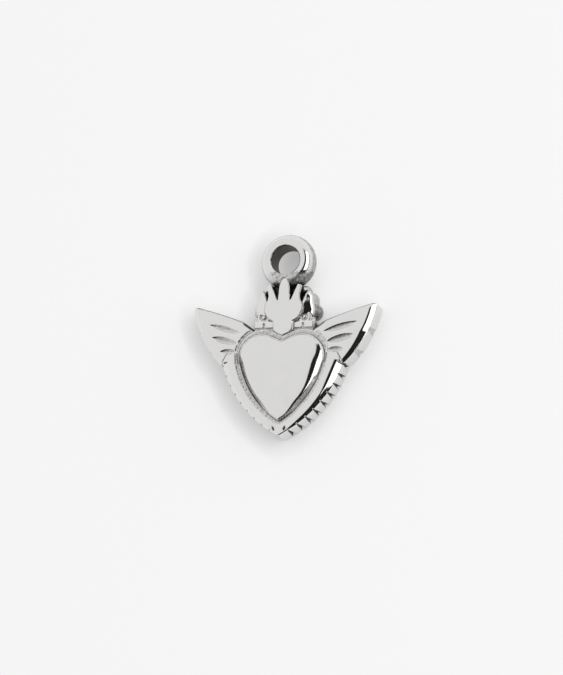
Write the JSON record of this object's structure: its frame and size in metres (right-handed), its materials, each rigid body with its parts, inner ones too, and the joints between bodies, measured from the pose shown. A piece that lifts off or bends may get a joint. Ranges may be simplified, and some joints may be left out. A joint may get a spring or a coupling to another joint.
{
  "type": "milagro charm",
  "caption": "Small cast steel milagro charm: a winged heart with a flame above it and a fixed ring for hanging it on a chain, cord or jump ring.",
  "frame": {"origin": "middle of the charm's length and width, on its flat back", "axes": "+Z out of the front face, +Y from the heart's tip towards the ring, +X towards the wing on the right as seen from the front"},
  "size_m": [0.0134, 0.0148, 0.0022],
  "materials": {
    "polished_steel": "polished",
    "satin_steel": "satin"
  },
  "bodies": {
    "root": {"back_plate": "satin_steel", "heart": "polished_steel", "heart_border": "polished_steel", "notched_rim": "polished_steel", "left_wing": "polished_steel", "right_wing": "polished_steel", "flame": "polished_steel", "left_flame_lobes": "polished_steel", "right_flame_lobes": "polished_steel", "left_base_curls": "polished_steel", "right_base_curls": "polished_steel", "bail_ring": "polished_steel"}
  },
  "joints": []
}
